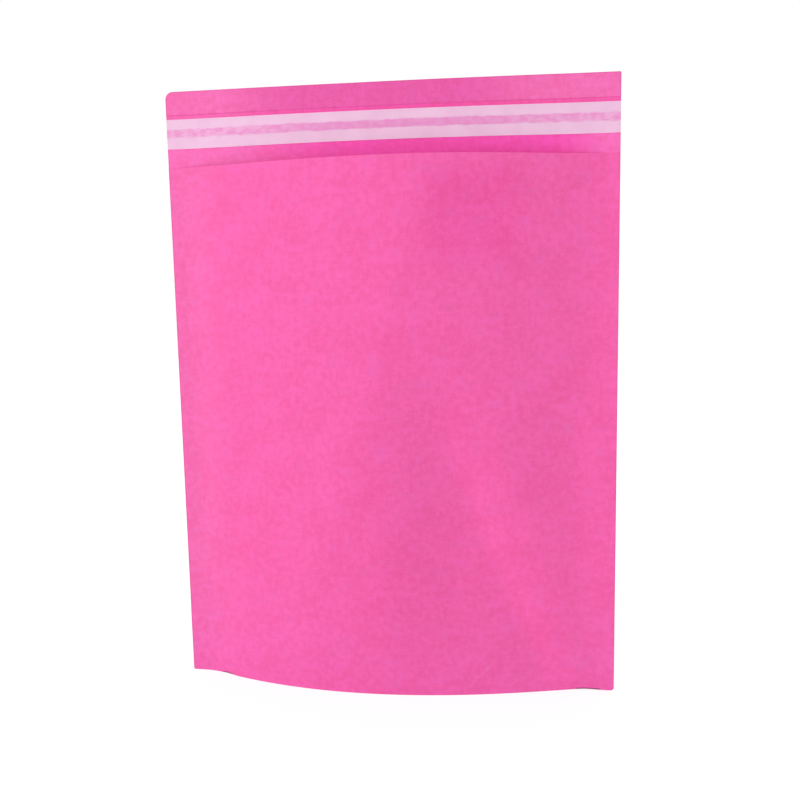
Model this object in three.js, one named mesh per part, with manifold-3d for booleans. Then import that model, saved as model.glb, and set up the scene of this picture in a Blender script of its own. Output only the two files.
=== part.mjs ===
// A paper mailer: one folded kraft sheet that stands open on its bottom gusset, with a peel-off strip.
// Millimetres, +Z up, front towards -Y. The origin is on the floor, under the middle of the bag's box.
import * as THREE from "three";
import { mergeVertices } from "three/addons/utils/BufferGeometryUtils.js";
import Module from "manifold-3d";

const wasm = await Module();
wasm.setup();

// The sheet, as it is cut and folded
const sheetWidth = 300;
const paper = 0.2;
const mouthHeight = 351;
const flapHeight = 49;
const seamWidth = 10;
const gussetDepth = 45;
const foldHeight = 1.2; // a crease presses its two plies together over this height
const foldTip = 1.6; // the gusset's upper fold thins out to nothing over this height
const looseness = 0.3; // plies that aren't glued lie at least this far from the plane of the seams
const cornerRadius = { left: 5, right: 0.8 }; // the flap's upper corners

// The sealing strip on the flap
const linerAboveMouth = 12.2;
const linerWidth = 19;
const linerThickness = 0.08;
const glueInset = 7.2;
const glueWidth = 5.3;
const glueThickness = 0.08;
const glueBevel = 0.8; // the glue film feathers out to the paper over this width
const scoreGap = 2.6;
const scoreWidth = 1;
const scoreDepth = 0.12;

// How the opened bag stands: the twist of its mouth over its foot, and the level curves of its panels.
// A curve stands out by its depth at its crest, and lies flat for its pinch past each seam.
const twistDegrees = 1.68;
const foot = { depth: 23.5, crest: -16, pinchLeft: 7.4, pinchRight: 13, fallLeft: 0.91, fallRight: 1.15 };
const lip = { depth: 28.3, crest: 6, pinchLeft: 0, pinchRight: 0, fallLeft: 1.4, fallRight: 1.45 };
const backAtMouth = { depth: -9.2, crest: 0, pinchLeft: 0, pinchRight: 0, fallLeft: 1.4, fallRight: 1.4 };
const flapEdge = { depth: -2.8, crest: 0, pinchLeft: 0, pinchRight: 0, fallLeft: 1.1, fallRight: 1.1 };

// Fineness of the folded surfaces
const seamColumns = [0, 0.15, 0.4, 1];
const bodyColumns = 26;
const gussetCells = 3;
const bodyCells = 8;

const height = mouthHeight + flapHeight;
const linerFoot = mouthHeight + linerAboveMouth;
const linerTop = linerFoot + linerWidth;
const glueFoot = linerFoot + glueInset;
const glueTop = glueFoot + glueWidth;
const scoreLine = linerTop + scoreGap;

// How far a level curve stands out of the side edges' plane at x, for a bag of this half width
function bulgeAt(curve, x, half) {
  const flat = seamWidth + (x < curve.crest ? curve.pinchLeft : curve.pinchRight);
  const end = x < curve.crest ? flat - half : half - flat;
  const fall = x < curve.crest ? curve.fallLeft : curve.fallRight;
  const reach = (x - curve.crest) / (end - curve.crest);
  return curve.depth * Math.pow(Math.max(0, 1 - reach * reach), fall);
}

function levelLength(curve, half) {
  const steps = 400;
  let length = 0;
  for (let i = 0; i < steps; i += 1) {
    const x0 = half * ((2 * i) / steps - 1);
    const x1 = half * ((2 * (i + 1)) / steps - 1);
    length += Math.hypot(x1 - x0, bulgeAt(curve, x1, half) - bulgeAt(curve, x0, half));
  }
  return length;
}

// Paper bends but doesn't stretch, so the bulge draws the side edges in until the curve is as long as
// the sheet is wide. Each pass takes off half of what is too long, at both edges.
function halfWidthOf(curve) {
  const passes = 8;
  let half = sheetWidth / 2;
  for (let pass = 0; pass < passes; pass += 1) {
    half -= (levelLength(curve, half) - sheetWidth) / 2;
  }
  return half;
}

const halfWidth = halfWidthOf(foot);

// The columns and rows that every ply shares, so that plies pressed together meet in the same facets
function spread(from, to, cells) {
  return Array.from({ length: cells }, (_, i) => from + ((to - from) * (i + 1)) / cells);
}

const bodyLeft = seamWidth + foot.pinchLeft - halfWidth;
const bodyRight = halfWidth - seamWidth - foot.pinchRight;
const leftSeam = seamColumns.map((share) => -halfWidth + share * seamWidth);
const rightSeam = seamColumns.map((share) => halfWidth - share * seamWidth).reverse();
const columns = [...leftSeam, bodyLeft, ...spread(bodyLeft, bodyRight, bodyColumns), ...rightSeam];

const gussetRows = [
  0,
  foldHeight,
  ...spread(foldHeight, gussetDepth - foldHeight, gussetCells),
  gussetDepth,
  gussetDepth + foldTip,
];
const bodyRows = [...gussetRows, ...spread(gussetDepth + foldTip, mouthHeight, bodyCells)];
const glueRows = [glueFoot - glueBevel, glueFoot, glueTop, glueTop + glueBevel];
const linerRows = [linerFoot, ...glueRows, linerTop];
const scoreRows = [scoreLine - scoreWidth / 2, scoreLine, scoreLine + scoreWidth / 2];
const flapRows = [...linerRows, ...scoreRows, ...spread(scoreLine + scoreWidth / 2, height, 2)];
const panelRows = [...bodyRows, ...flapRows];

const mix = (a, b, t) => a + (b - a) * t;
const ease = (t) => t * t * (3 - 2 * t);
const clamp = (t) => Math.min(1, Math.max(0, t));

// Room that one gusset ply takes between the seam's middle and a panel
function packing(z) {
  return paper * clamp((gussetDepth + foldTip - z) / foldTip);
}

const seamEdge = rightSeam[0];
const slack = (x) => (Math.abs(x) < seamEdge ? looseness : 0);

function frontBulge(x, z) {
  return slack(x) + mix(bulgeAt(foot, x, halfWidth), bulgeAt(lip, x, halfWidth), z / mouthHeight);
}

function backBulge(x, z) {
  const mouth = bulgeAt(backAtMouth, x, halfWidth);
  if (z <= mouthHeight) {
    return slack(x) + mix(bulgeAt(foot, x, halfWidth), mouth, ease(z / mouthHeight));
  }
  return mix(slack(x) + mouth, bulgeAt(flapEdge, x, halfWidth), ease((z - mouthHeight) / flapHeight));
}

const frontInside = (x, z) => -packing(z) - frontBulge(x, z);
const scored = (z) => (z === scoreLine ? scoreDepth : 0);
const backInside = (x, z) => packing(z) + backBulge(x, z) + scored(z);

// A gusset ply runs up from the fold at its panel's foot to the middle fold, and keeps its cut depth
// along the slope, so that the middle fold sinks where the foot is spread.
function gussetHeightAt(x, z) {
  if (z <= foldHeight) return z;
  const rise = Math.sqrt(gussetDepth ** 2 - bulgeAt(foot, x, halfWidth) ** 2);
  const share = (z - foldHeight) / (gussetDepth + foldTip - foldHeight);
  return mix(foldHeight, rise + foldTip, share);
}

function gussetSlopeAt(z) {
  return clamp((z - foldHeight) / (gussetDepth - 2 * foldHeight));
}

// The flap's upper corners are cut round: above the score, a row sinks with the flap's edge.
function flapHeightAt(x, z) {
  const scoreTop = scoreLine + scoreWidth / 2;
  if (z <= scoreTop) return z;
  const radius = x < 0 ? cornerRadius.left : cornerRadius.right;
  const inset = Math.min(radius, halfWidth - Math.abs(x));
  const drop = radius - Math.sqrt(radius ** 2 - (radius - inset) ** 2);
  return mix(scoreTop, height - drop, (z - scoreTop) / (height - scoreTop));
}

// The bag's mouth is turned a little over its foot, evenly up its height.
function twisted(x, y, z) {
  const turn = THREE.MathUtils.degToRad(twistDegrees) * (z / height);
  return new THREE.Vector3(x, y, z).applyAxisAngle(new THREE.Vector3(0, 0, 1), turn);
}

// One ply as a closed solid between two faces, near towards -Y and far towards +Y. A face gives y at x
// on a row, and heightAt gives the point's own height there.
function ply(rows, near, far, heightAt = (x, row) => row) {
  const across = columns.length;
  const points = [];
  for (const face of [near, far]) {
    for (const row of rows) {
      for (const x of columns) {
        const z = heightAt(x, row);
        points.push(twisted(x, face(x, row, z), z));
      }
    }
  }
  const farStart = rows.length * across;
  const index = [];
  const quad = (a, b, c, d) => index.push(a, b, c, a, c, d);
  for (let j = 0; j < rows.length - 1; j += 1) {
    for (let i = 0; i < across - 1; i += 1) {
      const a = j * across + i;
      quad(a, a + 1, a + 1 + across, a + across);
      index.push(farStart + a, farStart + a + 1 + across, farStart + a + 1);
      index.push(farStart + a, farStart + a + across, farStart + a + 1 + across);
    }
    const left = j * across;
    const right = left + across - 1;
    quad(left, left + across, farStart + left + across, farStart + left);
    quad(right, farStart + right, farStart + right + across, right + across);
  }
  for (let i = 0; i < across - 1; i += 1) {
    const top = (rows.length - 1) * across + i;
    quad(i, farStart + i, farStart + i + 1, i + 1);
    quad(top, top + 1, farStart + top + 1, farStart + top);
  }
  return solidOf(points, index);
}

// A solid from points and triangles: coinciding points become one, and triangles this flattens go.
function solidOf(points, index) {
  const loose = new THREE.BufferGeometry().setFromPoints(points).setIndex(index);
  const merged = mergeVertices(loose, 1e-4);
  const triangles = [];
  const corners = merged.index.array;
  for (let t = 0; t < corners.length; t += 3) {
    const [a, b, c] = corners.slice(t, t + 3);
    if (a !== b && b !== c && c !== a) triangles.push(a, b, c);
  }
  return new wasm.Manifold(
    new wasm.Mesh({
      numProp: 3,
      vertProperties: merged.attributes.position.array,
      triVerts: new Uint32Array(triangles),
    }),
  );
}

function meshOf(name, solid, material) {
  const { vertProperties, triVerts } = solid.getMesh();
  const geometry = new THREE.BufferGeometry();
  geometry.setAttribute("position", new THREE.BufferAttribute(vertProperties, 3));
  geometry.setIndex(new THREE.BufferAttribute(triVerts, 1));
  geometry.computeVertexNormals();
  const mesh = new THREE.Mesh(geometry, material);
  mesh.name = name;
  return mesh;
}

// The sheet's four plies: front panel, front and rear gusset, back panel with its flap
function paperBag() {
  const frontPanel = ply(bodyRows, (x, z) => frontInside(x, z) - paper, frontInside);
  const backPanel = ply(panelRows, backInside, (x, z) => backInside(x, z) + paper, flapHeightAt);

  const middle = (x, z) => (backBulge(x, z) - frontBulge(x, z)) / 2;
  const frontUnder = (x, row, z) => mix(-frontBulge(x, z), middle(x, z), gussetSlopeAt(row));
  const rearUnder = (x, row, z) => mix(backBulge(x, z), middle(x, z), gussetSlopeAt(row));
  const frontOver = (x, row, z) => -packing(row) + frontUnder(x, row, z);
  const rearOver = (x, row, z) => packing(row) + rearUnder(x, row, z);
  const frontGusset = ply(gussetRows, frontOver, frontUnder, gussetHeightAt);
  const rearGusset = ply(gussetRows, rearUnder, rearOver, gussetHeightAt);
  return frontPanel.add(frontGusset).add(rearGusset).add(backPanel);
}

// The glue film lies on the flap's front face, and the liner lies over it and over the paper on both sides.
const glueRise = (z) => (z >= glueFoot && z <= glueTop ? glueThickness : 0);
const overGlue = (x, z) => backInside(x, z) - glueRise(z);

function adhesiveStrip() {
  return ply(glueRows, overGlue, backInside);
}

function releaseLiner() {
  return ply(linerRows, (x, z) => overGlue(x, z) - linerThickness, overGlue);
}

const kraft = new THREE.MeshStandardMaterial({ color: 0xfa64b0, roughness: 0.85, metalness: 0 });
const glue = new THREE.MeshStandardMaterial({ color: 0xee96cd, roughness: 0.35, metalness: 0 });
const liner = new THREE.MeshStandardMaterial({ color: 0xebbede, roughness: 0.45, metalness: 0 });

const mailer = new THREE.Group();
mailer.add(meshOf("paper_bag", paperBag(), kraft));
mailer.add(meshOf("adhesive_strip", adhesiveStrip(), glue));
mailer.add(meshOf("release_liner", releaseLiner(), liner));

const box = new THREE.Box3().setFromObject(mailer);
const middle = box.getCenter(new THREE.Vector3());
mailer.position.set(-middle.x, -middle.y, -box.min.z);

export default mailer;
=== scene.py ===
# %% [markdown]
# # A paper mailer, folded from one sheet
# The real object is a mailing bag of pink kraft paper. One long sheet is folded up into a back panel with
# a flap, a bottom gusset of two plies and a front panel, and its sides are glued. A strip of glue on the
# flap waits under a translucent liner. Here the CAD model gives the size and the place of everything, and
# Blender adds what paper really looks like: thickness, soft dents, fibres and a film with glue behind it.

# %% Load the CAD frame
import math

import bpy
from mathutils import Matrix, Vector, noise


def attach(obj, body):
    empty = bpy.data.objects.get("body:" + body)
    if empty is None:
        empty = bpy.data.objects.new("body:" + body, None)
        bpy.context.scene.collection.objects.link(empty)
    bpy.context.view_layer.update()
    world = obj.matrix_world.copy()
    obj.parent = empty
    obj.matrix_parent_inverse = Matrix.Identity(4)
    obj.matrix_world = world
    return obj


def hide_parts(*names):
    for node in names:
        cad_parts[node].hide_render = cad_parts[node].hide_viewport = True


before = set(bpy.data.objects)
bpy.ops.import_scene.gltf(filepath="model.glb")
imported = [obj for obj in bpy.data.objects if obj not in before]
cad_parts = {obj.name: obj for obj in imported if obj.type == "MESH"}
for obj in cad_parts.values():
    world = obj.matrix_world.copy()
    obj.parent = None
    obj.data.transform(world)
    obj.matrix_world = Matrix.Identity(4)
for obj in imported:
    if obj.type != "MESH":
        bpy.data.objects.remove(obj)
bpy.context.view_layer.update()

# %% [markdown]
# ## The camera first
# The likeness to a photograph starts with the camera. Its lens and place were solved from straight lines
# and corners of the bag, so they are given as plain numbers. Three axes are built from three turns, because
# a matrix of axes can't be misread the way that a chain of rotations can.

# %% The camera
LENS = 39.81
SENSOR_WIDTH = 36
CAMERA_PLACE = Vector((0.09703, -0.57542, 0.26764))
YAW = 0.1566
PITCH = 0.1230
ROLL = 0.0165

forward = Vector((-math.sin(YAW) * math.cos(PITCH), math.cos(YAW) * math.cos(PITCH), -math.sin(PITCH)))
level = Vector((math.cos(YAW), math.sin(YAW), 0))
down = forward.cross(level)
right_axis = math.cos(ROLL) * level + math.sin(ROLL) * down
down_axis = -math.sin(ROLL) * level + math.cos(ROLL) * down

camera_data = bpy.data.cameras.new("camera")
camera_data.lens = LENS
camera_data.sensor_width = SENSOR_WIDTH
camera_data.clip_start = 0.01
camera = bpy.data.objects.new("camera", camera_data)
bpy.context.scene.collection.objects.link(camera)
axes = Matrix((right_axis, -down_axis, -forward)).transposed().to_4x4()
camera.matrix_world = Matrix.Translation(CAMERA_PLACE) @ axes
bpy.context.scene.camera = camera
print("camera at", tuple(round(value, 3) for value in camera.location))

# %% [markdown]
# ## The cut sheet and its folds
# A paper model is easiest to make in the way that the factory makes it: start with the flat sheet, and
# say where each line across it goes once it is folded. The lengths below are those of the sheet. They are
# the same as in the CAD model, so that the finer sheet lies where the plain one did.

# %% Lengths of the sheet, in metres
MM = 0.001
HALF_WIDTH = 147.127 * MM
PAPER = 0.2 * MM
PITCH_OF_PLIES = 0.24 * MM
MOUTH = 351 * MM
TOP = 400 * MM
SEAM = 10 * MM
GUSSET = 45 * MM
FOLD_TIP = 1.6 * MM
print("the bag is", round(2 * HALF_WIDTH / MM, 1), "mm wide and", round(TOP / MM), "mm high")


# %% Helpers for curves
def mix(a, b, share):
    return a + (b - a) * share


def clamp(value):
    return min(1.0, max(0.0, value))


def ease(share):
    """0 to 1 with a soft start and a soft end."""
    share = clamp(share)
    return share * share * (3 - 2 * share)


print("halfway through a soft change is", ease(0.5))

# %% [markdown]
# ## How the bag bulges
# Paper bends but doesn't stretch, and each panel bulges between its two glued side seams. A bulge is given
# by how deep it is, where its crest lies, how much stays flat next to each seam, and how fast it falls off.
# The panels are ruled from the curve at the foot to the curve at the mouth.

# %% The level curves, in millimetres
FOOT = {"depth": 23.5, "crest": -16, "pinch": (7.4, 13), "fall": (0.91, 1.15)}
LIP = {"depth": 28.3, "crest": 6, "pinch": (0, 0), "fall": (1.4, 1.45)}
BACK_AT_MOUTH = {"depth": -9.2, "crest": 0, "pinch": (0, 0), "fall": (1.4, 1.4)}
FLAP_EDGE = {"depth": -2.8, "crest": 0, "pinch": (0, 0), "fall": (1.1, 1.1)}
BEND_REACH = 7 * MM
GLUED = 4 * MM


def sharp_bulge(curve, x):
    crest = curve["crest"] * MM
    side = 0 if x < crest else 1
    flat = SEAM + curve["pinch"][side] * MM
    end = flat - HALF_WIDTH if side == 0 else HALF_WIDTH - flat
    reach = (x - crest) / (end - crest)
    return curve["depth"] * MM * max(0.0, 1 - reach * reach) ** curve["fall"][side]


def bulge(curve, x):
    """Stiff paper can't kink at the seam, so the curve is averaged over a few millimetres."""
    reach = BEND_REACH * ease((HALF_WIDTH - abs(x)) / (SEAM + BEND_REACH))
    samples = [sharp_bulge(curve, x + reach * share) for share in (-1, -0.5, 0, 0.5, 1)]
    glued = ease((HALF_WIDTH - GLUED - abs(x)) / (SEAM - GLUED))
    return glued * (sum(samples) - (samples[0] + samples[-1]) / 2) / 4


for name, curve in (("foot", FOOT), ("lip", LIP), ("back", BACK_AT_MOUTH)):
    print("the", name, "bulges by", round(bulge(curve, 0) / MM, 1), "mm")

# %% The panels between those curves
LOOSENESS = 0.3 * MM


def slack(x):
    """Plies that aren't glued lie a little apart, which opens up next to the seam."""
    return LOOSENESS * ease((HALF_WIDTH - GLUED - abs(x)) / SEAM)


def front_bulge(x, z):
    return slack(x) + mix(bulge(FOOT, x), bulge(LIP, x), z / MOUTH)


def back_bulge(x, z):
    mouth = bulge(BACK_AT_MOUTH, x)
    if z <= MOUTH:
        return slack(x) + mix(bulge(FOOT, x), mouth, ease(z / MOUTH))
    return mix(slack(x) + mouth, bulge(FLAP_EDGE, x), ease((z - MOUTH) / (TOP - MOUTH)))


opening = front_bulge(0, MOUTH) + back_bulge(0, MOUTH)
print("the mouth is open by", round(opening / MM, 1), "mm")

# %% [markdown]
# ## Dents and soft waves
# A handled paper bag is never smooth. Where the gusset spreads the foot, soft folds run from the middle of
# the front down towards its two lower corners, and shallow dents lie beside them. Features wider than a
# thumb are real shape and are moved into the mesh, and anything finer is left to the bump of the material.

# %% Soft folds and dents of the front
FOLDS = [
    # the line that a fold follows, its height and its width, in millimetres
    ([(21, 345), (11, 292), (-2, 237), (-16, 180), (-33, 128), (-51, 70), (-61, 18)], 1.9, 17),
    ([(34, 180), (46, 140), (64, 97), (84, 58), (108, 8)], -3.6, 24),
    ([(68, 178), (82, 140), (98, 97), (112, 58), (131, 8)], 2.8, 13),
    ([(-116, 182), (-128, 110), (-134, 37)], 0.9, 9),
    ([(-90, 200), (-101, 155), (-112, 83), (-120, 22)], -1.3, 10),
]
ROUNDING = 7 * MM
# the middle of a dent, its radius and its height, in millimetres
DENTS = [((63, 317), 20, -0.9), ((-78, 236), 40, 0.5)]


def distance_to_line(x, z, points):
    """Distance in metres from a point to a line of points in millimetres."""
    nearest = 1.0
    here = Vector((x, z))
    for first, last in zip(points, points[1:]):
        start = Vector(first) * MM
        leg = Vector(last) * MM - start
        share = clamp((here - start).dot(leg) / leg.length_squared)
        nearest = min(nearest, (here - start - leg * share).length)
    return nearest


def soft_folds(x, z):
    total = 0.0
    for line, height, width in FOLDS:
        far = math.hypot(distance_to_line(x, z, line), ROUNDING) - ROUNDING
        total += height * MM * math.exp(-far / (width * MM))
    return total


def soft_dents(x, z):
    total = 0.0
    for (dent_x, dent_z), radius, height in DENTS:
        far = math.hypot(x - dent_x * MM, z - dent_z * MM) / (radius * MM)
        total += height * MM * math.exp(-far * far)
    return total


print(len(FOLDS), "soft folds and", len(DENTS), "dents")

# %% Waves, and where the paper is held still
BROAD_WAVE = 0.55 * MM
FINE_WAVE = 0.22 * MM
FREE_FROM_SEAM = 20 * MM
FREE_FROM_FOOT = 16 * MM


def waves(x, z, seed):
    """Soft waves of a sheet that was packed flat, in metres."""
    broad = noise.noise(Vector((x * 14, seed, z * 9)))
    fine = noise.noise(Vector((x * 34, seed + 5, z * 24)))
    return BROAD_WAVE * broad + FINE_WAVE * fine


def still(x, z):
    """0 where the paper is held by a seam or a fold, and 1 where it is free."""
    side = ease((HALF_WIDTH - SEAM - abs(x)) / FREE_FROM_SEAM)
    foot = ease(z / FREE_FROM_FOOT)
    return side * foot


print("share of the waves 10 mm inside a seam:", round(still(HALF_WIDTH - SEAM - 10 * MM, MOUTH), 2))

# %% Relief of the two panels
FRONT_SEED = 1.0
BACK_SEED = 9.0
CALM_AT_LIP = 0.35
CALM_FROM = 330 * MM
CURL_FROM = 337 * MM
LIP_CURL = -0.55 * MM
DEEPEST_DENT = 0.7
BACK_WAVES = 1.6
FLAP_WAVES = 0.5


def front_relief(x, z):
    """Outward relief of the front. A dent takes at most a share of the bulge."""
    calm = mix(1.0, CALM_AT_LIP, ease((z - CALM_FROM) / (MOUTH - CALM_FROM)))
    curl = LIP_CURL * ease((z - CURL_FROM) / (MOUTH - CURL_FROM))
    relief = still(x, z) * (calm * (soft_folds(x, z) + soft_dents(x, z) + waves(x, z, FRONT_SEED)) + curl)
    return max(relief, -DEEPEST_DENT * front_bulge(x, z))


def back_relief(x, z):
    share = mix(BACK_WAVES, FLAP_WAVES, ease((z - 320 * MM) / (40 * MM)))
    return still(x, z) * share * waves(x, z, BACK_SEED)


print("relief in the middle of the front:", round(front_relief(0, MOUTH / 2) / MM, 2), "mm")

# %% [markdown]
# ## Where each ply lies
# Seen from the side the sheet is a W at the foot: back panel down, rear gusset up to the middle fold, front
# gusset down, front panel up. In the glued seams the four plies lie pressed together, one pitch apart. Each
# function gives the middle of a ply, and Solidify adds the thickness later.

# %% The panels
SCORE = 384.8 * MM
SCORE_REACH = 0.5 * MM
SCORE_DEPTH = 0.12 * MM


def seam_offset(z):
    """The panels' distance from the middle of a seam, with the gusset between them below its top."""
    return PITCH_OF_PLIES * (0.5 + clamp((GUSSET + FOLD_TIP - z) / FOLD_TIP))


def scored(z):
    return SCORE_DEPTH * clamp(1 - abs(z - SCORE) / SCORE_REACH)


def front_y(x, z):
    return -seam_offset(z) - front_bulge(x, z) - front_relief(x, z)


def back_y(x, z):
    return seam_offset(z) + back_bulge(x, z) + back_relief(x, z) + scored(z)


for name, panel_y in (("front", front_y), ("back", back_y)):
    print("the", name, "at mid height lies at y =", round(panel_y(0, TOP / 2) / MM, 1), "mm")

# %% The gusset
FOLD_CENTRE = 0.24 * MM


def middle_y(x, z):
    return (back_bulge(x, z) - front_bulge(x, z)) / 2


def gusset_rise(x):
    """Height of the middle fold: a gusset ply keeps its cut depth, so it sinks where the foot is spread."""
    return math.sqrt(GUSSET ** 2 - bulge(FOOT, x) ** 2)


def past_folds(share):
    """A ply runs straight up for a short way out of its fold and into the middle fold."""
    return clamp((share - 0.02) / 0.96)


def gusset_point(x, run, side):
    """A gusset ply at this distance up from its fold. side is 1 for the rear ply and -1 for the front."""
    share = clamp(run / GUSSET)
    z = FOLD_CENTRE + share * (gusset_rise(x) - FOLD_CENTRE)
    if side > 0:
        outer = back_bulge(x, z) + back_relief(x, z)
    else:
        outer = -front_bulge(x, z) - front_relief(x, z)
    y = mix(outer, middle_y(x, z), past_folds(share)) + side * PITCH_OF_PLIES / 2
    return y, z


print("the middle fold is at", round(gusset_rise(0) / MM, 1), "mm, and in the seams at", GUSSET / MM, "mm")

# %% Lifts and round corners
# where the front fold leaves the floor, how far to each side and how high, in millimetres
SLITS = [(-120, 5, 0.5), (130, 9, 0.55)]
SLIT_TOP = 14 * MM
FLAP_CORNERS = (5 * MM, 0.8 * MM)
WORN_CORNERS = (0.6 * MM, 2.2 * MM)
WEAR_TOP = 12 * MM


def foot_lift(x, z):
    """The front fold leaves the floor a little next to each seam, where the gusset pulls it back."""
    lift = 0.0
    for place, reach, height in SLITS:
        far = (x - place * MM) / (reach * MM)
        lift += height * MM * math.exp(-far * far)
    return lift * ease(1 - z / SLIT_TOP)


def corner_drop(x, radii):
    """How far an edge with round corners has turned away at x. The radii are for the left and the right."""
    radius = radii[0] if x < 0 else radii[1]
    inset = min(radius, HALF_WIDTH - abs(x))
    return radius - math.sqrt(radius ** 2 - (radius - inset) ** 2)


def flap_height(x, z):
    """The flap's upper corners are cut round: above the score, a row sinks with the flap's edge."""
    straight_top = SCORE + SCORE_REACH
    if z <= straight_top:
        return z
    share = (z - straight_top) / (TOP - straight_top)
    return mix(straight_top, TOP - corner_drop(x, FLAP_CORNERS), share)


def corner_wear(x, z):
    """The two lower corners were knocked in use, so their tips are bent up and look rounded."""
    return corner_drop(x, WORN_CORNERS) * clamp(1 - z / WEAR_TOP)


print("the flap's left corner drops by", round((TOP - flap_height(-HALF_WIDTH, TOP)) / MM, 1), "mm")

# %% The whole sheet
CENTRE_SHIFT = 2.248 * MM
TWIST = math.radians(1.68)


def standing(x, y, z):
    """The mouth is turned a little over the foot, and the bag is centred on the origin as the CAD is."""
    turn = TWIST * z / TOP
    turned_x = x * math.cos(turn) - y * math.sin(turn)
    turned_y = x * math.sin(turn) + y * math.cos(turn)
    return Vector((turned_x, turned_y + CENTRE_SHIFT, z + corner_wear(x, z)))


def fold_point(x, angle, side):
    """A point on the round of the rear or the front fold at the foot."""
    radius = PITCH_OF_PLIES / 2
    outer = back_bulge(x, 0) if side > 0 else -front_bulge(x, 0)
    lift = 0.0 if side > 0 else foot_lift(x, 0)
    y = outer + side * PITCH_OF_PLIES + radius * math.cos(angle)
    return standing(x, y, FOLD_CENTRE - radius * math.sin(angle) + lift)


def bag_point(x, row):
    """The place of a point of the sheet. A row is a ply's name and a height, a run or an angle."""
    ply, value = row
    if ply == "back":
        return standing(x, back_y(x, value), flap_height(x, value))
    if ply == "front":
        return standing(x, front_y(x, value), value + foot_lift(x, value))
    if ply == "rear_gusset":
        return standing(x, *gusset_point(x, value, 1))
    if ply == "front_gusset":
        y, z = gusset_point(x, value, -1)
        return standing(x, y, z + foot_lift(x, z))
    if ply == "middle_fold":
        radius = PITCH_OF_PLIES / 2
        y = middle_y(x, gusset_rise(x)) + radius * math.cos(value)
        return standing(x, y, gusset_rise(x) + radius * math.sin(value))
    return fold_point(x, value, 1 if ply == "rear_fold" else -1)


print("the lip's middle is at", tuple(round(value / MM, 1) for value in bag_point(0, ("front", MOUTH))), "mm")

# %% [markdown]
# ## Columns and rows of the sheet
# A grid needs many lines where the paper turns sharply, and few where it is nearly flat. So the columns
# crowd together at the seams, and the rows at the folds, the score and the flap's upper edge. Every row
# also knows how far along the flat sheet it is, which the material uses later.


# %% Columns
def steps(start, end, count):
    """Values from start, which is left out, to end in equal steps."""
    return [start + (end - start) * (k + 1) / count for k in range(count)]


SEAM_COLUMNS = [0, 0.25, 0.7, 1.5, 2.8, 4.4, 6.2, 8, 10, 11, 12]
BODY_COLUMNS = 104
left_columns = [column * MM - HALF_WIDTH for column in SEAM_COLUMNS]
right_columns = [-column for column in reversed(left_columns)]
columns = left_columns + steps(left_columns[-1], right_columns[0], BODY_COLUMNS)[:-1] + right_columns
print("the sheet has", len(columns), "columns")

# %% Rows
FOOT_LEVELS = [0.24, 0.5, 0.8, 1.2]
foot_levels = [z * MM for z in FOOT_LEVELS]
gusset_top = GUSSET + FOLD_TIP
lower_levels = foot_levels + steps(foot_levels[-1], gusset_top, 16)
score_levels = [SCORE + share * SCORE_REACH for share in (-1, -0.5, 0, 0.5, 1)]
back_levels = lower_levels + steps(gusset_top, MOUTH, 76) + steps(MOUTH, score_levels[0], 16)
back_levels += score_levels[1:] + steps(score_levels[-1], TOP, 9)
front_levels = lower_levels + steps(gusset_top, MOUTH, 104)
gusset_runs = [0.0] + foot_levels[1:] + steps(foot_levels[-1], GUSSET, 15)
turn_angles = [math.radians(angle) for angle in (45, 90, 135)]

rows = [("back", z) for z in reversed(back_levels)]
rows += [("rear_fold", angle) for angle in turn_angles]
rows += [("rear_gusset", run) for run in gusset_runs]
rows += [("middle_fold", angle) for angle in turn_angles]
rows += [("front_gusset", run) for run in reversed(gusset_runs)]
rows += [("front_fold", angle) for angle in turn_angles]
rows += [("front", z) for z in front_levels]
print("the sheet has", len(rows), "rows")

# %% [markdown]
# ## From a flat grid to a folded sheet
# The piece starts as Blender's own grid. A vertex's place on the flat grid says which column and row it is
# on, so moving it is a lookup and a call of the functions above. The UV map keeps the flat sheet: its
# numbers are metres on the paper, so fibres and creases follow the folds.


# %% A flat grid
def deselect_all():
    bpy.ops.object.select_all(action="DESELECT")


def flat_grid(name, column_count, row_count):
    deselect_all()
    bpy.ops.mesh.primitive_grid_add(x_subdivisions=column_count - 1, y_subdivisions=row_count - 1, size=1)
    grid = bpy.context.object
    grid.name = name
    grid.data.name = name
    grid.data.uv_layers[0].name = "flat_sheet"
    return grid


bag = flat_grid("folded_bag", len(columns), len(rows))
print("the flat grid has", len(bag.data.vertices), "vertices")


# %% Fold it
def sheet_runs(sheet_columns, sheet_rows, place):
    """How far along the flat sheet each row is, measured down its middle column."""
    middle = min(sheet_columns, key=abs)
    runs = [0.0]
    for row, following in zip(sheet_rows, sheet_rows[1:]):
        gap = place(middle, following) - place(middle, row)
        runs.append(runs[-1] + gap.length)
    return runs


def fold(grid, sheet_columns, sheet_rows, place):
    """Moves each vertex of a flat grid to its place, and writes the flat sheet to the UV map."""
    across = len(sheet_columns) - 1
    along = len(sheet_rows) - 1
    keys = []
    for vertex in grid.data.vertices:
        keys.append((round((vertex.co.x + 0.5) * across), round((vertex.co.y + 0.5) * along)))
    runs = sheet_runs(sheet_columns, sheet_rows, place)
    for vertex, (i, j) in zip(grid.data.vertices, keys):
        vertex.co = place(sheet_columns[i], sheet_rows[j])
    layer = grid.data.uv_layers["flat_sheet"]
    for loop in grid.data.loops:
        i, j = keys[loop.vertex_index]
        layer.data[loop.index].uv = (sheet_columns[i] + HALF_WIDTH, runs[j])
    grid.data.update()
    return runs[-1]


def apply_place(piece):
    """The piece's object goes to the origin, with its place in its mesh."""
    deselect_all()
    piece.select_set(True)
    bpy.context.view_layer.objects.active = piece
    bpy.ops.object.transform_apply(location=True, rotation=True, scale=True)


sheet_length = fold(bag, columns, rows, bag_point)
apply_place(bag)
print("the folded sheet is", round(sheet_length / MM), "mm long")

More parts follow.
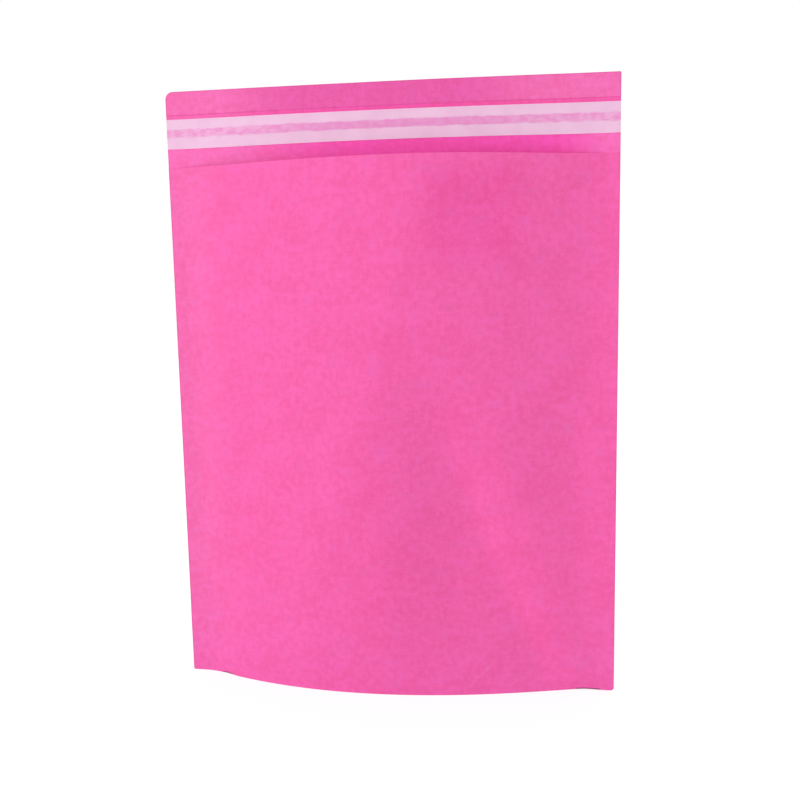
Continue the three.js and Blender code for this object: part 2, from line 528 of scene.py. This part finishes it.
# %% [markdown]
# ## Nodes of the paper
# Kraft paper is matt and nearly one colour, but never quite: its fibres clump into a mottle a few
# millimetres across, some lie along the sheet and some across it, and here and there the dye took less. The
# same fibres make it faintly rough. One node group gives the tones and the height, so that both faces of the
# paper can share it.

# %% Helpers for materials
WHITE = (1, 1, 1, 1)


def linear(red, green, blue):
    """A colour as it is picked from a screen, 0 to 255, as the linear value that a shader takes."""
    channels = []
    for value in (red, green, blue):
        share = value / 255
        channels.append(share / 12.92 if share <= 0.04045 else ((share + 0.055) / 1.055) ** 2.4)
    return (*channels, 1.0)


def blank_material(name):
    material = bpy.data.materials.new(name)
    material.use_nodes = True
    material.node_tree.nodes.clear()
    return material, material.node_tree


def add_node(tree, kind, **values):
    node = tree.nodes.new(kind)
    for name, value in values.items():
        setattr(node, name, value)
    return node


def show(tree, shader):
    """Links a shader to the surface of the material."""
    output = add_node(tree, "ShaderNodeOutputMaterial")
    tree.links.new(shader.outputs[0], output.inputs["Surface"])


print("mid pink is", tuple(round(value, 2) for value in linear(248, 102, 180)))


# %% Helpers for numbers in a node tree
def math_of(tree, operation, first, second):
    node = add_node(tree, "ShaderNodeMath", operation=operation)
    for socket, value in zip(node.inputs, (first, second)):
        if isinstance(value, (int, float)):
            socket.default_value = value
        else:
            tree.links.new(value, socket)
    return node.outputs[0]


def times(tree, first, *others):
    for other in others:
        first = math_of(tree, "MULTIPLY", first, other)
    return first


def one_minus(tree, value):
    return math_of(tree, "SUBTRACT", 1.0, value)


def ramp_between(tree, value, low, high):
    """0 below low, 1 above high, and an eased change between them."""
    node = add_node(tree, "ShaderNodeMapRange", interpolation_type="SMOOTHSTEP")
    node.inputs["From Min"].default_value = low
    node.inputs["From Max"].default_value = high
    tree.links.new(value, node.inputs["Value"])
    return node.outputs["Result"]


def hump(tree, value, corners):
    """0, then 1 between the two middle corners, then 0 again."""
    rise = ramp_between(tree, value, corners[0], corners[1])
    fall = ramp_between(tree, value, corners[2], corners[3])
    return math_of(tree, "SUBTRACT", rise, fall)


print("helpers:", ", ".join(helper.__name__ for helper in (math_of, times, one_minus, ramp_between, hump)))


# %% Helpers for patterns and colours
def noise_of(tree, vector, scale, detail, roughness=0.55, stretch=None):
    """A noise texture over a vector, stretched first where fibres lie one way."""
    if stretch:
        mapping = add_node(tree, "ShaderNodeMapping")
        mapping.inputs["Scale"].default_value = stretch
        tree.links.new(vector, mapping.inputs["Vector"])
        vector = mapping.outputs["Vector"]
    texture = add_node(tree, "ShaderNodeTexNoise")
    texture.inputs["Scale"].default_value = scale
    texture.inputs["Detail"].default_value = detail
    texture.inputs["Roughness"].default_value = roughness
    tree.links.new(vector, texture.inputs["Vector"])
    return texture.outputs[0]


def colour_mix(tree, factor, first, second, blend="MIX"):
    node = add_node(tree, "ShaderNodeMix", data_type="RGBA", blend_type=blend)
    if isinstance(factor, (int, float)):
        node.inputs[0].default_value = factor
    else:
        tree.links.new(factor, node.inputs[0])
    for socket, value in zip((node.inputs[6], node.inputs[7]), (first, second)):
        if isinstance(value, tuple):
            socket.default_value = value
        else:
            tree.links.new(value, socket)
    return node.outputs[2]


def flat_sheet(tree):
    """The place on the flat sheet: as a vector, and as its distances across and along."""
    sheet = add_node(tree, "ShaderNodeUVMap", uv_map="flat_sheet").outputs["UV"]
    parts = add_node(tree, "ShaderNodeSeparateXYZ")
    tree.links.new(sheet, parts.inputs[0])
    return sheet, (parts.outputs["X"], parts.outputs["Y"])


print("helpers:", ", ".join(helper.__name__ for helper in (noise_of, colour_mix, flat_sheet)))

# %% The fibre group
FIBRE_OUTPUTS = ("Tone", "Faded", "Loose", "Height")


def fibre_tone(group, clouds, mottle, across, along):
    """The paper's tone, mostly mottle, with a share of clouds and of fibres that lie both ways."""
    tone = times(group, clouds, 0.22)
    for texture, weight in ((mottle, 0.46), (across, 0.17), (along, 0.15)):
        tone = math_of(group, "ADD", tone, times(group, texture, weight))
    return tone


def fibre_group():
    group = bpy.data.node_groups.new("paper_fibres", "ShaderNodeTree")
    group.interface.new_socket(name="Sheet", in_out="INPUT", socket_type="NodeSocketVector")
    for name in FIBRE_OUTPUTS:
        group.interface.new_socket(name=name, in_out="OUTPUT", socket_type="NodeSocketFloat")
    start = group.nodes.new("NodeGroupInput")
    end = group.nodes.new("NodeGroupOutput")
    sheet = start.outputs["Sheet"]

    clouds = noise_of(group, sheet, 42, 3)
    mottle = noise_of(group, sheet, 230, 4, 0.65)
    across = noise_of(group, sheet, 1, 2, 0.6, stretch=(110, 1100, 1))
    along = noise_of(group, sheet, 1, 2, 0.6, stretch=(1000, 90, 1))
    grain = noise_of(group, sheet, 1500, 2, 0.5)
    patches = noise_of(group, sheet, 75, 4, 0.7)
    specks = noise_of(group, sheet, 420, 2, 0.5)

    height = math_of(group, "ADD", times(group, grain, 0.5), times(group, mottle, 0.9))
    height = math_of(group, "ADD", height, times(group, across, 0.4))
    group.links.new(fibre_tone(group, clouds, mottle, across, along), end.inputs["Tone"])
    group.links.new(ramp_between(group, patches, 0.50, 0.70), end.inputs["Faded"])
    group.links.new(ramp_between(group, specks, 0.66, 0.74), end.inputs["Loose"])
    group.links.new(height, end.inputs["Height"])
    return group


paper_fibres = fibre_group()
print("fibre group has", len(paper_fibres.nodes), "nodes")

# %% [markdown]
# ## The kraft paper
# Both faces are the same pink. The inner face shows on the flap and in the pocket behind the lip: painted
# shade darkens the middle of the flap, painted shade and bounce light deepen the middle of the pocket,
# painted light lifts the ends of both, and the band between the score and the liner is a deeper pink. The
# outer face has painted light along its left side, painted shade and light on a patch and along soft folds, a
# painted contact shadow on the foot's fold near each lower corner, a bluer tone near the foot, and creases.
# So one function makes the paper, and it is given a second function that adds the marks of its own face.

# %% Marks on the front
FRONT_RUN = sheet_length - MOUTH


def crease_mark(tree, place, start, end, half_width):
    """A soft line on the front panel from start to end. All its lengths are in millimetres."""
    first = Vector((start[0] * MM + HALF_WIDTH, FRONT_RUN + start[1] * MM))
    last = Vector((end[0] * MM + HALF_WIDTH, FRONT_RUN + end[1] * MM))
    length = (last - first).length
    way = (last - first).normalized()
    shifted = [math_of(tree, "SUBTRACT", socket, value) for socket, value in zip(place, first)]
    parts = []
    for share_x, share_y in ((way.x, way.y), (-way.y, way.x)):
        parts.append(math_of(tree, "ADD", times(tree, shifted[0], share_x), times(tree, shifted[1], share_y)))
    window = hump(tree, parts[0], (0, length * 0.4, length * 0.6, length))
    reach = half_width * MM
    return times(tree, window, hump(tree, parts[1], (-reach, 0, 0.01 * MM, reach)))


def shade_with(tree, place, colour, across, along, strength, shade):
    """Mixes a colour in, inside a soft window across and along the flat sheet."""
    window = times(tree, hump(tree, place[0], across), hump(tree, place[1], along))
    return colour_mix(tree, times(tree, window, strength), colour, shade)


print("the front starts", round(FRONT_RUN / MM), "mm along the sheet")

# %% The inner face
# painted shade for the middle of the flap, and painted light for its ends
PINK_FLAP_PAINTED_SHADE = linear(235, 94, 175)
PINK_FLAP_END_PAINTED_LIGHT = linear(248, 117, 190)
# painted shade and bounce light for the pocket behind the lip, and painted light for its ends
PINK_POCKET_SHADE_AND_BOUNCE = linear(255, 84, 188)
PINK_POCKET_END_PAINTED_LIGHT = linear(252, 116, 194)
PINK_SCORE_BAND = linear(250, 80, 170)
SCORE_RUN = TOP - SCORE
LINER_TOP = 382.2 * MM
LINER_TOP_RUN = TOP - LINER_TOP
# soft windows across and along the flat sheet
FLAP_SHADE_SPAN = (30 * MM, 90 * MM, 190 * MM, 250 * MM)
FLAP_FADE = (30 * MM, 34 * MM)
POCKET_SHADE_SPAN = (30 * MM, 130 * MM, 250 * MM, 295 * MM)
POCKET_SHADE_RUN = (*FLAP_FADE, 75 * MM, 120 * MM)
SCORE_BAND_RAMP = (20 * MM, 160 * MM)


def inside_marks(tree, place, colour):
    across, along = place
    # painted shade across the middle of the flap, and painted light towards its two ends
    flap_shade_and_light = colour_mix(tree, hump(tree, across, FLAP_SHADE_SPAN), PINK_FLAP_END_PAINTED_LIGHT, PINK_FLAP_PAINTED_SHADE)
    on_flap = one_minus(tree, ramp_between(tree, along, *FLAP_FADE))
    colour = colour_mix(tree, times(tree, on_flap, 0.8), colour, flap_shade_and_light)
    # painted shade and bounce light make the middle of the pocket a deep pink, with painted light towards its
    # ends
    pocket_shade_and_light = colour_mix(tree, hump(tree, across, POCKET_SHADE_SPAN), PINK_POCKET_END_PAINTED_LIGHT, PINK_POCKET_SHADE_AND_BOUNCE)
    in_pocket = hump(tree, along, POCKET_SHADE_RUN)
    colour = colour_mix(tree, times(tree, in_pocket, 0.9), colour, pocket_shade_and_light)
    # the band between the score and the liner is a deeper pink, more so towards the right
    band = (SCORE_RUN - 0.2 * MM, SCORE_RUN + 0.3 * MM, LINER_TOP_RUN, LINER_TOP_RUN + 1 * MM)
    stronger_right = times(tree, ramp_between(tree, across, *SCORE_BAND_RAMP), 0.35)
    deeper = times(tree, hump(tree, along, band), math_of(tree, "ADD", 0.3, stronger_right))
    return colour_mix(tree, deeper, colour, PINK_SCORE_BAND)


print("the pressed band is", round((LINER_TOP_RUN - SCORE_RUN) / MM, 1), "mm wide")

# %% The outer face
PINK_FIBRE = linear(250, 140, 202)
PINK_LEFT_PAINTED_LIGHT = linear(247, 116, 187)
PINK_LOW = linear(243, 108, 189)
PINK_PATCH_SHADE = linear(244, 88, 172)
FOLD_CONTACT_SHADOW = linear(120, 58, 96)
LEFT_LIGHT_RAMP = (5 * MM, 50 * MM)
LOW_REACH = 90 * MM
# where along the front fold the painted contact shadow lies, across the flat sheet
FOLD_SHADOW_SPANS = [(23.5 * MM, 30.5 * MM), (270 * MM, 285 * MM)]
FOLD_SHADOW_RUN = tuple(FRONT_RUN + run * MM for run in (-1, -0.6, 0.5, 1.1))
SHADE_PATCH = (165 * MM, 185 * MM, 215 * MM, 250 * MM)
SHADE_PATCH_RUN = tuple(FRONT_RUN + run * MM for run in (270, 300, 335, 350))
# from and to on the front panel in millimetres, half the width, strength and colour
FOLD_SHADE_AND_LIGHT = [
    # painted shade along the broad soft fold down the middle of the front
    ((24, 240), (14, -40), 48, 0.5, linear(234, 94, 170)),
    # painted light along the fold towards the lower right
    ((40, 190), (122, -30), 15, 0.8, linear(255, 106, 186)),
]
CREASES = [
    ((72, 25), (48, 2), 1.5, 0.3, PINK_FIBRE),
    ((92, 196), (118, 190), 1, 0.15, PINK_FIBRE),
    ((-30, 44), (-12, 30), 1, 0.15, PINK_FIBRE),
]


def outside_marks(tree, place, colour):
    across, along = place
    on_front = ramp_between(tree, along, FRONT_RUN - 2 * MM, FRONT_RUN)
    # painted light: the front is lighter along its left side
    left_light = one_minus(tree, ramp_between(tree, across, *LEFT_LIGHT_RAMP))
    colour = colour_mix(tree, times(tree, left_light, on_front, 0.6), colour, PINK_LEFT_PAINTED_LIGHT)
    low = one_minus(tree, ramp_between(tree, along, FRONT_RUN, FRONT_RUN + LOW_REACH))
    colour = colour_mix(tree, times(tree, low, on_front, 0.6), colour, PINK_LOW)
    # painted contact shadow on the front fold where it leaves the floor near each lower corner
    for first, last in FOLD_SHADOW_SPANS:
        shadow_window = (first - 2 * MM, first + 1 * MM, last - 1 * MM, last + 2 * MM)
        colour = shade_with(tree, place, colour, shadow_window, FOLD_SHADOW_RUN, 0.8, FOLD_CONTACT_SHADOW)
    # painted shade on a patch at the upper right of the front
    colour = shade_with(tree, place, colour, SHADE_PATCH, SHADE_PATCH_RUN, 0.55, PINK_PATCH_SHADE)
    for start, end, half_width, strength, shade in FOLD_SHADE_AND_LIGHT + CREASES:
        mark = crease_mark(tree, place, start, end, half_width)
        colour = colour_mix(tree, times(tree, mark, strength), colour, shade)
    return colour


print(len(CREASES), "creases and", len(FOLD_SHADE_AND_LIGHT), "tones along the folds")

# %% [markdown]
# ## Score, edges and fibres
# On both faces the score is a thin darker line of painted shade, and so is the paper along its cut edges.
# Over all of that lie the fibres. They tint whatever pink is below them by multiplying it, so that no mark
# hides them.

# %% Both faces of the kraft paper
PINK = linear(248, 102, 180)
# painted shade for the score's groove and for the cut edges
PINK_SCORE_SHADE = linear(222, 76, 156)
PINK_EDGE_SHADE = linear(222, 84, 160)
TINT_DARK = (0.942, 0.79, 0.805, 1)
TINT_FADED = (0.90, 1.06, 1.04, 1)
EDGE_LINE = 0.9 * MM
SCORE_LINE = tuple(SCORE_RUN + run * MM for run in (-0.5, -0.1, 0.1, 0.5))
PAPER_ROUGHNESS = 0.72
FIBRE_BUMP = 0.35
FIBRE_HEIGHT = 0.06 * MM


def line_marks(tree, place, colour):
    """Painted shade: a dark line at the score, and a thin dark line along the sheet's side edges and the
    flap's upper edge.
    """
    across, along = place
    score = hump(tree, along, SCORE_LINE)
    colour = colour_mix(tree, times(tree, score, 0.7), colour, PINK_SCORE_SHADE)
    inner = hump(tree, across, (0, EDGE_LINE, 2 * HALF_WIDTH - EDGE_LINE, 2 * HALF_WIDTH))
    inner = times(tree, inner, ramp_between(tree, along, 0, EDGE_LINE))
    return colour_mix(tree, times(tree, one_minus(tree, inner), 0.65), colour, PINK_EDGE_SHADE)


def kraft_paper(name, marks):
    material, tree = blank_material(name)
    sheet, place = flat_sheet(tree)
    fibres = add_node(tree, "ShaderNodeGroup", node_tree=paper_fibres)
    tree.links.new(sheet, fibres.inputs["Sheet"])
    colour = line_marks(tree, place, marks(tree, place, PINK))

    tone = ramp_between(tree, fibres.outputs["Tone"], 0.41, 0.59)
    tint = colour_mix(tree, tone, TINT_DARK, WHITE)
    tint = colour_mix(tree, times(tree, fibres.outputs["Faded"], 0.4), tint, TINT_FADED)
    colour = colour_mix(tree, 1.0, colour, tint, "MULTIPLY")
    colour = colour_mix(tree, times(tree, fibres.outputs["Loose"], 0.25), colour, PINK_FIBRE)

    shader = add_node(tree, "ShaderNodeBsdfPrincipled")
    shader.inputs["Specular IOR Level"].default_value = 0.3
    roughness = math_of(tree, "ADD", PAPER_ROUGHNESS, times(tree, tone, 0.08))
    bump = add_node(tree, "ShaderNodeBump")
    bump.inputs["Strength"].default_value = FIBRE_BUMP
    bump.inputs["Distance"].default_value = FIBRE_HEIGHT
    tree.links.new(fibres.outputs["Height"], bump.inputs["Height"])
    tree.links.new(colour, shader.inputs["Base Color"])
    tree.links.new(roughness, shader.inputs["Roughness"])
    tree.links.new(bump.outputs["Normal"], shader.inputs["Normal"])
    show(tree, shader)
    return material


outside_paper = kraft_paper("pink_kraft_outside", outside_marks)
inside_paper = kraft_paper("pink_kraft_inside", inside_marks)
print("the outer face's material has", len(outside_paper.node_tree.nodes), "nodes")

# %% The cut edge
PINK_CUT = linear(252, 132, 190)


def cut_edge():
    """Seen end on, the cut is lighter than the face and frayed."""
    material, tree = blank_material("cut_paper_edge")
    sheet = flat_sheet(tree)[0]
    fray = noise_of(tree, sheet, 900, 3)
    colour = colour_mix(tree, ramp_between(tree, fray, 0.35, 0.65), PINK, PINK_CUT)
    shader = add_node(tree, "ShaderNodeBsdfPrincipled")
    shader.inputs["Roughness"].default_value = 0.85
    shader.inputs["Specular IOR Level"].default_value = 0.2
    tree.links.new(colour, shader.inputs["Base Color"])
    show(tree, shader)
    return material


edge_paper = cut_edge()
print("made", edge_paper.name)

# %% [markdown]
# ## Thickness
# The Solidify modifier turns the sheet into a wall. It keeps the material of the first shell, and adds a
# number to it for the second shell and for the rim, so the outer face, the rim and the inner face can each
# have their own. The modifier is applied, so that the finished piece is a plain mesh.


# %% Thicken and finish the bag
def thicken(piece, thickness, rim_material=0, inner_material=0):
    """Gives a sheet its thickness, half to each side of where it lies."""
    bpy.context.view_layer.objects.active = piece
    solidify = piece.modifiers.new("thickness", "SOLIDIFY")
    solidify.thickness = thickness
    solidify.offset = 0
    solidify.material_offset_rim = rim_material
    solidify.material_offset = inner_material
    bpy.ops.object.modifier_apply(modifier=solidify.name)
    bpy.ops.object.shade_smooth_by_angle(angle=math.radians(40))


for paper in (outside_paper, edge_paper, inside_paper):
    bag.data.materials.append(paper)
thicken(bag, PAPER, rim_material=1, inner_material=2)
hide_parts("paper_bag")
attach(bag, "root")
print("the bag has", len(bag.data.polygons), "faces")

# %% [markdown]
# ## The sealing strip
# A machine lays a bead of hot glue across the flap and presses a liner over it. The glue ends up as a thin
# film with a wandering edge, and the liner lies over it from one side of the bag to the other. Both follow
# the flap, so their places are worked out from the flap's own face.

# %% Where the glue lies
GLUE_FOOT = 370.4 * MM
GLUE_TOP = 375.7 * MM
GLUE_BEVEL = 0.8 * MM
GLUE_THICKNESS = 0.08 * MM
CLEARANCE = 0.01 * MM


def flap_face(x, z):
    return back_y(x, z) - PAPER / 2


def glue_edge(x, edge):
    """The height of the glue's lower or upper edge, which wanders as hot glue does."""
    seed = 3.0 if edge == "foot" else 7.0
    wander = 0.5 * noise.noise(Vector((x * 60, seed, 0))) + 0.25 * noise.noise(Vector((x * 210, seed, 4)))
    height = GLUE_FOOT if edge == "foot" else GLUE_TOP
    return height + wander * MM


def glue_rise(x, z):
    """How thick the glue is at a point: full in the middle, feathered out at its edges."""
    below = (z - glue_edge(x, "foot")) / GLUE_BEVEL + 0.5
    above = (glue_edge(x, "top") - z) / GLUE_BEVEL + 0.5
    return GLUE_THICKNESS * ease(below) * ease(above)


print("the glue is", round((GLUE_TOP - GLUE_FOOT) / MM, 1), "mm wide")

# %% The glue
GLUE_ROWS = 9
GLUE_FEATHER = 0.15


def glue_point(x, row):
    foot_edge = glue_edge(x, "foot") - GLUE_BEVEL / 2
    top_edge = glue_edge(x, "top") + GLUE_BEVEL / 2
    z = mix(top_edge, foot_edge, row)
    fullness = mix(GLUE_FEATHER, 1, glue_rise(x, z) / GLUE_THICKNESS)
    return standing(x, flap_face(x, z) - CLEARANCE - fullness * GLUE_THICKNESS / 2, z)


glue_rows = [k / (GLUE_ROWS - 1) for k in range(GLUE_ROWS)]
glue = flat_grid("glue_film", len(columns), GLUE_ROWS)
fold(glue, columns, glue_rows, glue_point)
apply_place(glue)
print("the glue's grid has", len(glue.data.vertices), "vertices")

# %% The liner
LINER_FOOT = 363.2 * MM
LINER_THICKNESS = 0.08 * MM
LINER_ROWS = 25
LINER_GAP = 3 * CLEARANCE
LIFT_OVER_GLUE = 1.3
RIPPLE = 0.03 * MM


def liner_point(x, row):
    z = mix(LINER_TOP, LINER_FOOT, row)
    rise = LINER_GAP + glue_rise(x, z) * LIFT_OVER_GLUE
    ripple = RIPPLE * (1 + noise.noise(Vector((x * 120, 2, z * 260))))
    return standing(x, flap_face(x, z) - rise - ripple - LINER_THICKNESS / 2, z)


liner_rows = [k / (LINER_ROWS - 1) for k in range(LINER_ROWS)]
liner = flat_grid("film_liner", len(columns), LINER_ROWS)
fold(liner, columns, liner_rows, liner_point)
apply_place(liner)
print("the liner is", round((LINER_TOP - LINER_FOOT) / MM, 1), "mm wide")

# %% [markdown]
# ## Finishes of the strip
# The liner is a translucent film. Over bare paper there is air behind it, so it looks whitish, and where it
# touches the glue the pink shows through. A mask in the material follows the strip's own height: it has a
# wavy edge and blotches, as glue that didn't wet the film everywhere. Painted shade darkens the glued band
# across the middle of the flap.

# %% Glue material
GLUE_LIGHT = linear(255, 150, 214)
GLUE_DARK = linear(252, 126, 198)


def glue_material():
    material, tree = blank_material("hot_melt_glue")
    sheet = flat_sheet(tree)[0]
    blotches = ramp_between(tree, noise_of(tree, sheet, 160, 4, 0.6), 0.35, 0.65)
    colour = colour_mix(tree, blotches, GLUE_DARK, GLUE_LIGHT)
    roughness = math_of(tree, "ADD", 0.3, times(tree, blotches, 0.15))
    shader = add_node(tree, "ShaderNodeBsdfPrincipled")
    tree.links.new(colour, shader.inputs["Base Color"])
    tree.links.new(roughness, shader.inputs["Roughness"])
    show(tree, shader)
    return material


glue.data.materials.append(glue_material())
thicken(glue, GLUE_THICKNESS * 0.6)
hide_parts("adhesive_strip")
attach(glue, "root")
print("the glue has", len(glue.data.polygons), "faces")

# %% Liner material
FILM_MARGIN = linear(250, 205, 235)
FILM_HAZY = linear(245, 195, 229)
FILM_GLUED = linear(252, 184, 227)
FILM_BLOTCH = linear(246, 156, 214)
FILM_GLUED_SHADE = linear(240, 142, 206)
GLUED_SHADE_SPAN = (30 * MM, 120 * MM, 190 * MM, 290 * MM)
WANDER = 2.4 * MM
WET_EDGE = 0.7 * MM
FILM_ALPHA = 0.9


def glued_band(tree, sheet, along):
    """1 where the film touches glue, with a wavy edge."""
    wander = noise_of(tree, sheet, 1, 3, 0.6, stretch=(150, 220, 1))
    wander = times(tree, math_of(tree, "SUBTRACT", wander, 0.5), WANDER)
    low_run = LINER_TOP - GLUE_TOP
    high_run = LINER_TOP - GLUE_FOOT
    band = (low_run - WET_EDGE, low_run + WET_EDGE, high_run - WET_EDGE, high_run + WET_EDGE)
    return hump(tree, math_of(tree, "ADD", along, wander), band)


def liner_material():
    material, tree = blank_material("release_film")
    sheet, (across, along) = flat_sheet(tree)
    band = glued_band(tree, sheet, along)
    blotch = ramp_between(tree, noise_of(tree, sheet, 1, 4, 0.65, stretch=(190, 330, 1)), 0.38, 0.62)
    haze = noise_of(tree, sheet, 60, 3)
    margin = colour_mix(tree, ramp_between(tree, haze, 0.3, 0.7), FILM_MARGIN, FILM_HAZY)
    glued = colour_mix(tree, blotch, FILM_GLUED, FILM_BLOTCH)
    # painted shade: the glued band is darker across the middle of the flap
    glued = colour_mix(tree, times(tree, hump(tree, across, GLUED_SHADE_SPAN), 0.5), glued, FILM_GLUED_SHADE)
    colour = colour_mix(tree, band, margin, glued)
    # wetted film lets a little more through
    wetted = times(tree, band, one_minus(tree, times(tree, blotch, 0.45)))
    alpha = math_of(tree, "SUBTRACT", FILM_ALPHA, times(tree, wetted, 0.05))
    roughness = math_of(tree, "ADD", 0.38, times(tree, haze, 0.15))

    shader = add_node(tree, "ShaderNodeBsdfPrincipled")
    shader.inputs["Specular IOR Level"].default_value = 0.4
    tree.links.new(colour, shader.inputs["Base Color"])
    tree.links.new(alpha, shader.inputs["Alpha"])
    tree.links.new(roughness, shader.inputs["Roughness"])
    show(tree, shader)
    return material


liner.data.materials.append(liner_material())
thicken(liner, LINER_THICKNESS)
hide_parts("release_liner")
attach(liner, "root")
print("the liner has", len(liner.data.polygons), "faces")

# %% [markdown]
# ## Floor, world and light
# The bag stands on a plain pale floor under soft studio light. The camera sees the world and most of the
# floor as plain white, but the light that falls on the bag keeps an ordinary level, and the floor keeps the
# bag's shadow. One wide lamp at the left gives the left half of the front its lighter tone, and two weaker
# ones keep the right side and the back from going dull.

# %% Floor
FLOOR_SIZE = 8
FLOOR_DROP = 0.05 * MM
FLOOR_WHITENESS = 0.72
FLOOR_GLOW = 1.13

deselect_all()
bpy.ops.mesh.primitive_plane_add(size=FLOOR_SIZE, location=(0, 0, -FLOOR_DROP))
floor = bpy.context.object
floor.name = "floor"
floor_material, floor_tree = blank_material("pale_floor")
pale = add_node(floor_tree, "ShaderNodeBsdfPrincipled")
pale.inputs["Base Color"].default_value = (0.95, 0.95, 0.95, 1)
pale.inputs["Roughness"].default_value = 0.9
pale.inputs["Specular IOR Level"].default_value = 0.1
bright = add_node(floor_tree, "ShaderNodeEmission")
bright.inputs["Strength"].default_value = FLOOR_GLOW
seen = add_node(floor_tree, "ShaderNodeLightPath")
floor_mix = add_node(floor_tree, "ShaderNodeMixShader")
floor_tree.links.new(times(floor_tree, seen.outputs["Is Camera Ray"], FLOOR_WHITENESS), floor_mix.inputs[0])
floor_tree.links.new(pale.outputs[0], floor_mix.inputs[1])
floor_tree.links.new(bright.outputs[0], floor_mix.inputs[2])
show(floor_tree, floor_mix)
floor.data.materials.append(floor_material)
print("floor", FLOOR_SIZE, "m wide")

# %% World
AMBIENT = 0.725
world = bpy.data.worlds.new("studio")
bpy.context.scene.world = world
world.use_nodes = True
world_tree = world.node_tree
world_tree.nodes.clear()
soft = add_node(world_tree, "ShaderNodeBackground")
soft.inputs["Strength"].default_value = AMBIENT
white = add_node(world_tree, "ShaderNodeBackground")
white.inputs["Strength"].default_value = 1
for background in (soft, white):
    background.inputs["Color"].default_value = WHITE
rays = add_node(world_tree, "ShaderNodeLightPath")
direct = math_of(world_tree, "MAXIMUM", rays.outputs["Is Camera Ray"], rays.outputs["Is Glossy Ray"])
direct = math_of(world_tree, "MAXIMUM", direct, rays.outputs["Is Transmission Ray"])
world_mix = add_node(world_tree, "ShaderNodeMixShader")
world_tree.links.new(direct, world_mix.inputs[0])
world_tree.links.new(soft.outputs[0], world_mix.inputs[1])
world_tree.links.new(white.outputs[0], world_mix.inputs[2])
world_output = add_node(world_tree, "ShaderNodeOutputWorld")
world_tree.links.new(world_mix.outputs[0], world_output.inputs["Surface"])
bpy.context.scene.view_settings.view_transform = "Standard"
print("ambient level", AMBIENT)

# %% Lamps
LAMP_SIZE = 1.4
LAMP_AIM = Vector((0, 0, 0.2))
LAMPS = {
    # the place of a lamp and its power in watts
    "key_left": ((-1.9, -1.3, 1.2), 22),
    "fill_right": ((1.6, -1.8, 0.9), 4),
    "fill_back": ((0.6, 2.4, 1.1), 12),
}


def add_lamp(name, place, power):
    data = bpy.data.lights.new(name, "AREA")
    data.size = LAMP_SIZE
    data.energy = power
    lamp = bpy.data.objects.new(name, data)
    bpy.context.scene.collection.objects.link(lamp)
    lamp.location = place
    lamp.rotation_euler = (LAMP_AIM - Vector(place)).to_track_quat("-Z", "Y").to_euler()


for name, (place, power) in LAMPS.items():
    add_lamp(name, place, power)
print(len(LAMPS), "lamps placed")
